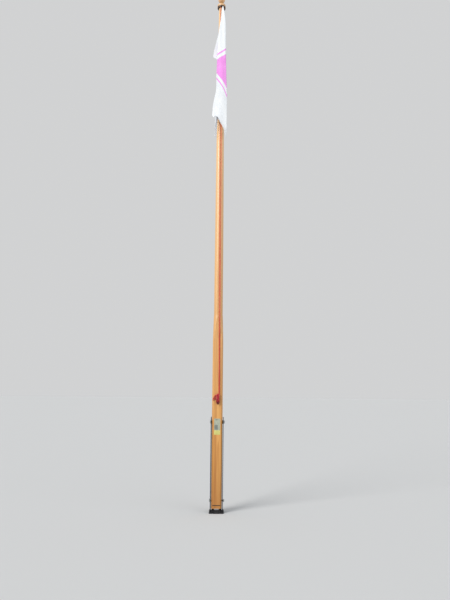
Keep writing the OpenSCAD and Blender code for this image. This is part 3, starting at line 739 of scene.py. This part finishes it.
def make_halyard(rope, twine):
    """The rope's pieces; returns its two eyes, which hold the flag."""
    rope_piece("halyard", straightened(halyard_route(), ROPE_STEP), ROPE_STEP, rope,
               ["halyard_belay", "halyard_uphaul", "halyard_downhaul", "halyard_head_turn"])
    bight = smooth_route(bight_points(HITCH_ROUTE + BIGHT_ROUTE), BIGHT_STEP)
    rope_piece("slack_bight", bight, BIGHT_STEP, rope, ["halyard_bight"], 1.0)
    inner = smooth_route(bight_points(BIGHT_ROUTE[1:-1], INNER_SIZE, INNER_MOVE), BIGHT_STEP)
    rope_piece("inner_bight", inner, BIGHT_STEP, rope, [], 2.0)
    eyes, step = [], math.tau * EYE_R / EYE_PARTS
    for node, middle in (("upper_eye", UPPER_EYE_MID), ("lower_eye", LOWER_EYE_MID)):
        eyes.append(rope_piece(node + "_rope", eye_loop(middle), step, rope, [node]))
    seizings = [
        whipping(UPPER_EYE_MID, UPPER_EYE_TOP - WHIPPING_LAP, UPPER_EYE_TOP + WHIPPING_H),
        whipping(LOWER_EYE_MID, LOWER_EYE_FOOT - WHIPPING_H, LOWER_EYE_FOOT + WHIPPING_LAP),
    ]
    new_piece("eye_seizings", joined(seizings), twine, "pole")
    return eyes


# Flag: it hangs from its top hoist corner, so each point of the cloth lies as far below that corner as it is
# away from it on the flat flag, and pleat lines that fan out from the corner turn left and right by turns.

FLY, HOIST = 1.60, 0.96
HEADING, HEM = 35 * MM, 12 * MM
# About how far the free edges are from the tied corner, and the rows of points down to their hems
CLOTH_REACH = 1.7
ROWS = 110
TIE = Vector((UPPER_EYE_MID.x + 4 * MM, -58.5 * MM, TRUCK_LOW.z + 2 * MM))

# Angle of each pleat line below the top edge, in degrees: near the corner, half way down and near the hem
PLEATS_HIGH = (0, 14, 20, 25, 31, 36, 42, 47, 53, 58, 63, 68, 72.5, 77, 80.5, 83.5, 90)
PLEATS = (0, 7.2, 11.6, 15.4, 19.8, 23.6, 27.8, 31.4, 38, 45, 51.5, 58, 64.5, 71, 77, 81, 90)
PLEATS_LOW = (0, 7.4, 11.2, 14.6, 18.5, 22, 25.9, 29.0, 31.1, 36, 48, 57, 64.5, 71, 77, 81, 90)
FRONT_PLEATS = 7
LAST = len(PLEATS) - 1

# The bundle's edges and the hoist, across, by distance from the tied corner along the cloth, in mm
LEFT_EDGE = ((0, 16), (73, 4), (153, 0), (227, -5), (300, -13), (372, -26), (560, -42), (816, -49),
             (944, -54), (1084, -56), (1194, -55), (1266, -57), (1338, -74), (1410, -89), (1480, -98),
             (1542, -102), (1600, -104), (1900, -105))
RIGHT_EDGE = ((0, 20), (73, 35), (153, 48), (227, 58), (300, 62), (372, 63), (800, 66), (1084, 73),
              (1223, 81), (1600, 85), (1800, 84), (1870, 76))
# The hoist billows left between its ties: distance, across and drop, in mm
HOIST_PATH = ((0, 14, 0), (300, -13, 300), (372, -26, 367), (547, -65, 530), (617, -80, 594), (702, -97, 670),
              (766, -105, 730), (855, -52, 772), (960, 12, 790))
# Where each front pleat line ends across the hem, and the hem's own line as across and drop, in mm
HEM_FOLDS = (-105, 84, -30, 84, -2, 83, 44, 77, -68)
HEM_LINE = ((-105, 1608), (-60, 1608), (-40, 1618), (-22, 1638), (-3, 1680), (23, 1719), (49, 1775),
            (76, 1872))
# Room between the hem line and the ends of the layers behind the front panel
BEHIND_HEM = 8 * MM
# How far forward the rearmost layer lies, by distance in mm
BACK_LAYER = ((0, -58.5), (100, -59), (500, -61), (960, -66), (1780, -76))
FRONT_SPACING, REAR_SPACING = 6.6 * MM, 3.8 * MM
# What is left of a layer's spacing below the end of that layer
SPENT_SHARE = 0.35
# A bend over a quarter turn takes this much more cloth than its radius, and at most this share of a pleat
BEND_EXTRA, BEND_SHARE = 0.57, 0.30
# How far the cloth falls back at its right, at its left, at the low step in front and at the rear flap
BACK_RIGHT, BACK_LEFT, BACK_STEP, BACK_FLAP = 15 * MM, 7 * MM, 10 * MM, 28 * MM
FRONT_WAVE = 4.5 * MM
# How far the fly's upper corner, at the left of the front panel, leans out and droops
EAR_OUT, EAR_DROP = 10 * MM, 34 * MM
# How far the lobe at the foot of the hoist curls back, and how deep its soft folds are
LOBE_CURL, LOBE_WAVE = 18 * MM, 3.5 * MM
TIP_CURL = 30 * MM
# Half the thickness of the cloth, and what the hems and the heading add to it
CLOTH_HALF, HEM_HALF, HEADING_HALF = 0.45 * MM, 0.35 * MM, 0.6 * MM
BECKET_R, BECKET_CORD_R, BECKET_PARTS = 6.2 * MM, 1.6 * MM, 32


def ease(t):
    """A soft step from 0 to 1 while t goes from 0 to 1."""
    t = np.clip(t, 0, 1)
    return t * t * (3 - 2 * t)


def ease_mm(value, start, length):
    """A soft step over a length that begins at the start; the value is in metres, the others in mm."""
    return ease((value - start * MM) / (length * MM))


def table(rows, column, value, blur=35 * MM):
    """A table's column at each value, with its corners rounded."""
    rows = np.array(rows, float) * MM
    shifts = (-1, -0.6, -0.2, 0.2, 0.6, 1)
    return sum(np.interp(value + blur * s, rows[:, 0], rows[:, column]) for s in shifts) / len(shifts)


def sway(value, seed):
    """A smooth wave of four lengths between about -1 and 1."""
    dice = np.random.default_rng(seed)
    total = 0
    for i in range(4):
        stretch = (1 + i) * (1 + 0.4 * dice.random())
        total = total + np.sin(value * stretch + dice.random() * 6.28) / (1 + i) ** 0.8
    return total / 1.9


def pleat_angle(k, r):
    """The angle of a pleat line, which wanders a little down the cloth."""
    high, low = ease((0.80 - r) / 0.36), ease((r - 1.12) / 0.26)
    sets = ((PLEATS_HIGH, high), (PLEATS, (1 - high) * (1 - low)), (PLEATS_LOW, low))
    angle = sum(angles[k] * share for angles, share in sets)
    if 0 < k < LAST:
        gap = sum(min(angles[k + 1] - angles[k], angles[k] - angles[k - 1]) * share
                  for angles, share in sets)
        angle = angle + 0.20 * gap * sway(r * 4.0, 100 + k)
    return np.radians(angle)


def layer_gaps(r):
    """The distance from each layer to the one in front of it, doubled behind the front panel."""
    grow = 1 - np.exp(-r / 0.16)
    sizes = [REAR_SPACING if k > FRONT_PLEATS else FRONT_SPACING for k in range(LAST)]
    sizes[1] = 2 * FRONT_SPACING
    return [grow * size * (1 + 0.32 * sway(r * 5.0, 400 + k)) for k, size in enumerate(sizes)]


def layers(r, gaps):
    """How far forward each layer lies, as y."""
    ends = np.degrees(np.arcsin(np.clip(HOIST / np.maximum(r, HOIST), 0, 1)))
    y = [None] * LAST
    y[LAST - 1] = table(BACK_LAYER, 1, r)
    for k in range(LAST - 1, 0, -1):
        present = ease((ends - PLEATS[k]) / 7.0 + 1.0)
        y[k - 1] = y[k] - gaps[k] * (SPENT_SHARE + (1 - SPENT_SHARE) * present)
    return y


def folds(r, gaps):
    """How far right each pleat line lies, as x, inside the bundle's edges."""
    left, right = table(LEFT_EDGE, 1, r), table(RIGHT_EDGE, 1, r)
    chain = [np.zeros_like(r)]
    for k in range(FRONT_PLEATS):
        width = r * (pleat_angle(k + 1, r) - pleat_angle(k, r))
        width = width - BEND_EXTRA * ((gaps[k] / 2 if k else 0) + gaps[k + 1] / 2)
        chain.append(chain[-1] + (1 if k % 2 == 0 else -1) * np.maximum(width, 0.3 * MM))
    chain = np.stack(chain)
    least = chain.min(axis=0)
    span = np.maximum(chain.max(axis=0) - least, 1 * MM)
    x = [left + (c - least) * (right - left) / span for c in chain]
    x[0] = left
    x[1] = x[1] + (right - x[1]) * ease((r - 0.2) / 0.3)
    inset = (right - left) * 0.06
    for k in range(FRONT_PLEATS + 1, LAST):
        x.append(left + inset if k % 2 == 0 else right - inset)
    low = ease((r - 1.28) / 0.34)
    for k in range(1, LAST):
        x[k] = x[k] + 4 * MM * sway(r * 7.0, 200 + k) * ease(r / 0.4) * (0.3 if k in (1, 7) else 1)
        if k < len(HEM_FOLDS):
            x[k] = x[k] * (1 - low) + HEM_FOLDS[k] * MM * low
        x[k] = np.clip(x[k], left + 0.5 * MM, right if k == 1 else right - 3 * MM * ease(r / 0.3))
    x.append(table(HOIST_PATH, 1, r, 14 * MM))
    return x


def cloth_line(k, t, r):
    """The cloth a share t of the way across pleat k, at each distance r from the tied corner."""
    gaps = layer_gaps(r)
    x, y = folds(r, gaps), layers(r, gaps)
    turn = 1 if k % 2 == 0 else -1
    width = r * (pleat_angle(k + 1, r) - pleat_angle(k, r))
    first = np.minimum(gaps[k] / 2 if k else 0 * r, width * BEND_SHARE)
    second = np.minimum(gaps[k + 1] / 2 if k + 1 < LAST else 0 * r, width * BEND_SHARE)
    along = t * width
    bend_in = np.minimum(along / np.maximum(first, 1e-6), math.pi / 2)
    bend_out = np.minimum((width - along) / np.maximum(second, 1e-6), math.pi / 2)
    start, end = first * math.pi / 2, width - second * math.pi / 2
    share = np.clip((along - start) / np.maximum(end - start, 1e-6), 0, 1)
    x_in, x_out = x[k] + turn * first, x[k + 1] - turn * second
    bent = [along < start, along > end]
    px = np.select(bent, [x[k] + turn * first * (1 - np.cos(bend_in)),
                          x[k + 1] - turn * second * (1 - np.cos(bend_out))], x_in + (x_out - x_in) * share)
    py = np.select(bent, [y[k] - first * (1 - np.sin(bend_in)), y[k] + second * (1 - np.sin(bend_out))], y[k])
    pz = TIE.z - r
    bow = sway(r * 9.0, 300 + k) * math.sin(math.pi * t) * ease(r / 0.3)
    py = py + bow * (1.4 * MM if k <= FRONT_PLEATS else 0.6 * MM)
    if k == 0:
        py, pz = front_panel(t, r, py, pz)
    if k == LAST - 1:
        py, pz = hoist_panel(t, r, py, pz)
    return px, py + set_back(k, px, r), pz


def set_back(k, px, r):
    """How far the cloth falls back towards its sides, and at the soft upright step low down in front.

    The flap that hangs below the hem at the left belongs to pleats 7 and 8 and turns away from the light.
    """
    right = BACK_RIGHT * ease_mm(px, 22, 70)
    left = BACK_LEFT * ease_mm(-px, 30, 80)
    step_x = px - 0.035 * (r - 1.3)
    step = BACK_STEP * ease_mm(step_x, -9, 24) * ease((r - 1.05) / 0.25) * max(1 - k / 8, 0)
    flap = 0
    if k in (7, 8):
        flap = BACK_FLAP * ease_mm(px, -70, 25) * (1 - ease_mm(px, -45, 25))
    return (right + left) * ease(r / 0.5) + step + flap * ease((r - 1.62) / 0.10)


def front_panel(t, r, py, pz):
    """Soft upright folds on the panel in front, and the fly corner that droops."""
    drift = 0.35 * sway(r * 2.6, 77) + 0.25 * ease((r - 0.7) / 0.6)
    broad = np.cos(math.tau * (1.55 * t - drift))
    narrow = np.cos(math.tau * (3.4 * t + 1.3 * drift))
    held = max(math.sin(math.pi * t), 0) ** 0.6 * ease((r - 0.12) / 0.4)
    ear = math.exp(-((t - 0.10) / 0.07) ** 2) * ease((r - 1.48) / 0.12)
    py = py + (0.7 * broad + 0.3 * narrow) * held * FRONT_WAVE
    return py - EAR_OUT * ear, pz - EAR_DROP * ear


def hoist_panel(t, r, py, pz):
    """The hoist's own drop between its ties, with a curl in the lobe at its foot."""
    share = ease(t)
    pz = pz * (1 - share) + (TIE.z - table(HOIST_PATH, 2, r, 14 * MM)) * share
    curl = np.exp(-((r - 0.74) / 0.14) ** 2)
    soft = np.sin(math.tau * (1.3 * t + 0.8 * r)) * math.sin(math.pi * t) * ease((r - 0.3) / 0.2)
    return py + share * curl * LOBE_CURL + soft * LOBE_WAVE, pz


def hung_to_hem(k, t, r, px, pz):
    """The front panel hangs down to the hem line, and the layers behind it end just above the line."""
    line = np.array(HEM_LINE, float) * MM
    hem_z = TIE.z - np.interp(px[-1], line[:, 0], line[:, 1])
    near_end = ease((r - r[-1] + 0.55) / 0.55)
    if k in (0, 1):
        share = 1 if k == 0 else 1 - ease(t / 0.4)
        pz = pz - max(pz[-1] - hem_z, 0) * share * near_end
        px = np.minimum(px, table(RIGHT_EDGE, 1, TIE.z - pz))
    if 1 <= k <= 8 and px[-1] > -46 * MM:
        share = ease(t / 0.4) if k == 1 else 1
        pz = pz + max(hem_z + BEHIND_HEM - pz[-1], 0) * share * near_end
    return px, pz


def tip_curl(px, drop):
    """How far the lowest tip, at the right, curls back under the cloth above it."""
    return TIP_CURL * ease_mm(px, 28, 52) * ease((drop - 1.74) / 0.13)


def edge_distance(angle):
    """How far the flat flag reaches from its tied corner at an angle below its top edge."""
    to_fly = FLY / np.maximum(np.cos(angle), 1e-6)
    to_foot = HOIST / np.maximum(np.sin(angle), 1e-6)
    return np.minimum(to_fly, to_foot)


def flag_grid():
    """Columns follow the pleat lines, closer round the folds; rows run from the corner to the free edges."""
    close = (0, 0.02, 0.045, 0.075, 0.115, 0.17, 0.25, 0.37)
    shares = [*close, 0.5, *(1 - c for c in reversed(close))]
    hem = HEM / CLOTH_REACH
    hem_rows = np.array([1 - hem, 1 - hem + 0.0006, 1 - hem / 2, 1.0])
    reach = np.concatenate([np.linspace(0, 1 - 1.6 * hem, ROWS) ** 0.85, hem_rows])
    points, flat = [], []
    for k in range(LAST):
        for t in shares[:-1] if k < LAST - 1 else shares:
            r = np.full(len(reach), 1.0)
            for _ in range(12):
                angle = pleat_angle(k, r) * (1 - t) + pleat_angle(k + 1, r) * t
                r = np.maximum(reach * edge_distance(angle), 6 * MM)
            px, py, pz = cloth_line(k, t, r)
            px, pz = hung_to_hem(k, t, r, px, pz)
            py = py + tip_curl(px, TIE.z - pz)
            points.append(np.stack([px, py, pz], axis=-1))
            flat.append(np.stack([r * np.cos(angle), r * np.sin(angle)], axis=-1))
    return np.array(points), np.array(flat)


def cloth_half_thickness(flat):
    """Half the cloth's thickness, nearly doubled in the hems and more in the heading."""
    u, v = flat[..., 0], flat[..., 1]
    hem = (v > HOIST - HEM) | (v < HEM) | (u > FLY - HEM)
    heading = ease((HEADING - u) / (6 * MM) + 0.5)
    return CLOTH_HALF + HEM_HALF * hem + HEADING_HALF * heading


def thick_cloth(points, flat):
    """Both faces of the cloth and its rim, with each point's place on the flat flag."""
    down = np.gradient(points, axis=1)
    across = np.gradient(points, axis=0)
    normal = np.cross(across, down)
    normal /= np.maximum(np.linalg.norm(normal, axis=-1, keepdims=True), 1e-12)
    half = cloth_half_thickness(flat)[..., None]
    both = np.concatenate([points + normal * half, points - normal * half]).reshape(-1, 3)
    count = len(both) // 2
    front = np.arange(count).reshape(points.shape[:2])
    quads = np.stack([front[:-1, :-1], front[:-1, 1:], front[1:, 1:], front[1:, :-1]], -1).reshape(-1, 4)
    faces = [quads[:, ::-1], quads + count]
    for border, outward in ((front[0], 1), (front[-1], -1), (front[:, 0], -1), (front[:, -1], 1)):
        strip = np.stack([border[:-1], border[1:], border[1:] + count, border[:-1] + count], axis=-1)
        faces.append(strip[:, ::outward])
    return both, np.concatenate(faces), np.concatenate([flat, flat]).reshape(-1, 2)


def flat_map(piece, flat):
    """A UV map that holds each point's place on the flat flag, in metres."""
    mesh = piece.data
    layer = mesh.uv_layers.new(name="flat")
    corners = np.empty(len(mesh.loops), dtype=np.int32)
    mesh.loops.foreach_get("vertex_index", corners)
    layer.data.foreach_set("uv", flat[corners].astype(np.float32).ravel())


def becket(name, middle, material):
    """A cord loop through the flag's corner and round the front of an eye."""
    angles = np.linspace(0, math.tau, BECKET_PARTS + 1)
    loop = np.stack([middle.x + BECKET_R * np.cos(angles), middle.y - EYE_R + BECKET_R * np.sin(angles),
                     middle.z + 2 * MM + 1.5 * MM * np.cos(angles)], axis=1)
    shape = laid_rope(loop, BECKET_CORD_R, math.tau * BECKET_R / BECKET_PARTS)
    return new_piece(name, shape, material, "pole")


def make_flag(cloth, cord):
    points, faces, places = thick_cloth(*flag_grid())
    flag = new_piece("limp_flag", (points, faces.tolist()), cloth, "pole")
    flat_map(flag, places)
    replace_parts(flag, "flag")
    beckets = [becket("upper_becket", UPPER_EYE_MID, cord), becket("lower_becket", LOWER_EYE_MID, cord)]


# Floor, light and background; the floor's own colour is set so that, lit, it matches the background

FLOOR_HALF = 60.0
PALE = (0.64, 0.645, 0.65)
FLOOR_COLOUR = (0.745, 0.745, 0.745)
SKY_COLOUR, SKY_STRENGTH = (0.93, 0.97, 1.0), 0.5


def make_floor():
    mesh = bpy.data.meshes.new("floor")
    corners = [(sx * FLOOR_HALF, sy * FLOOR_HALF, 0) for sx, sy in ((-1, -1), (1, -1), (1, 1), (-1, 1))]
    mesh.from_pydata(corners, [], [(0, 1, 2, 3)])
    floor = bpy.data.objects.new("floor", mesh)
    scene.collection.objects.link(floor)
    s = Shader("floor", Roughness=0.9, Specular_IOR_Level=0.1)
    s.colour((*FLOOR_COLOUR, 1))
    mesh.materials.append(s.material)


def make_sun(name, toward, strength, angle, colour):
    """A sun that shines along a direction, with its width given in degrees."""
    data = bpy.data.lights.new(name, "SUN")
    data.energy = strength
    data.angle = math.radians(angle)
    data.color = colour
    lamp = bpy.data.objects.new(name, data)
    lamp.rotation_euler = Vector(toward).to_track_quat("-Z", "Y").to_euler()
    scene.collection.objects.link(lamp)


def make_world():
    """A pale background for the camera, mirrors and glass, and a soft sky that lights the rest."""
    world = bpy.data.worlds.new("studio")
    scene.world = world
    world.use_nodes = True
    tree = world.node_tree
    tree.nodes.clear()
    add, link = tree.nodes.new, tree.links.new
    rays = add("ShaderNodeLightPath")
    seen = add("ShaderNodeBackground")
    seen.inputs["Color"].default_value = (*PALE, 1)
    lit = add("ShaderNodeBackground")
    lit.inputs["Color"].default_value = (*SKY_COLOUR, 1)
    lit.inputs["Strength"].default_value = SKY_STRENGTH
    choose = add("ShaderNodeMixShader")
    last = rays.outputs["Is Camera Ray"]
    for ray in ("Is Glossy Ray", "Is Transmission Ray"):
        either = add("ShaderNodeMath")
        either.operation = "MAXIMUM"
        link(last, either.inputs[0])
        link(rays.outputs[ray], either.inputs[1])
        last = either.outputs[0]
    link(last, choose.inputs[0])
    link(lit.outputs[0], choose.inputs[1])
    link(seen.outputs[0], choose.inputs[2])
    link(choose.outputs[0], add("ShaderNodeOutputWorld").inputs["Surface"])


def make_light():
    make_sun("key", (0.68, 0.66, -0.48), 2.25, 30, (1.0, 0.985, 0.96))
    make_sun("fill", (-0.72, 0.62, -0.25), 0.75, 60, (0.97, 0.98, 1.0))
    scene.view_settings.view_transform = "Standard"


# The scene

make_camera()
make_world()
make_light()
make_floor()

pole_wood = softwood(
    "varnished_softwood", (0.765, 0.418, 0.124), (0.635, 0.300, 0.075), (0.455, 0.180, 0.040),
    pith=(0.012, 0.085), ring_width=5.5 * MM, heart=(-18 * MM, 20 * MM, 1.5, 0.36), darker_low=(0.75, 0.62),
    painted_light_up=(0.75, 5.4, (0.99, 0.660, 0.350), 0.80),
    shaded_groove=(86 * MM, 5 * MM, FRONT_Y + 3.2 * MM, 47 * MM))
turned_wood = softwood(
    "turned_softwood", (0.90, 0.62, 0.38), (0.80, 0.50, 0.26), (0.58, 0.31, 0.13),
    pith=(0.05, 0.10), ring_width=4.5 * MM, shade_under_truck=(TRUCK_LOW.z, (0.045, 0.022, 0.010)))
steel = black_paint()
zinc = galvanised()
cast = galvanised("cast_cleat", (0.21, 0.075, 0.055))
rope = rope_finish()
cloth = cloth_finish()
twine = twine_finish("waxed_twine", (0.20, 0.025, 0.02), (0.34, 0.05, 0.04))
cord = twine_finish("white_cord", (0.66, 0.67, 0.68), (0.82, 0.83, 0.84))
finish_nodes([
    (steel, ["base_plate", "left_cheek", "right_cheek"]),
    (zinc, ["left_shim_ring", "right_shim_ring", "pivot_bolt", "pivot_nut", "left_pivot_washer",
            "right_pivot_washer", "lock_bolt", "lock_nut", "left_lock_washer", "right_lock_washer"]),
    (pole_wood, ["timber_pole"]),
    (turned_wood, ["truck", "ball_finial"]),
    (brass(), ["sheave", "sheave_pin", "finial_stem"]),
    (cast, ["cleat"]),
    (notice_finish(), ["notice_plate"]),
])
make_anchor_fastenings(steel)
make_cleat_screws(zinc)
make_weld_beads(steel)
eyes = make_halyard(rope, twine)
make_flag(cloth, cord)
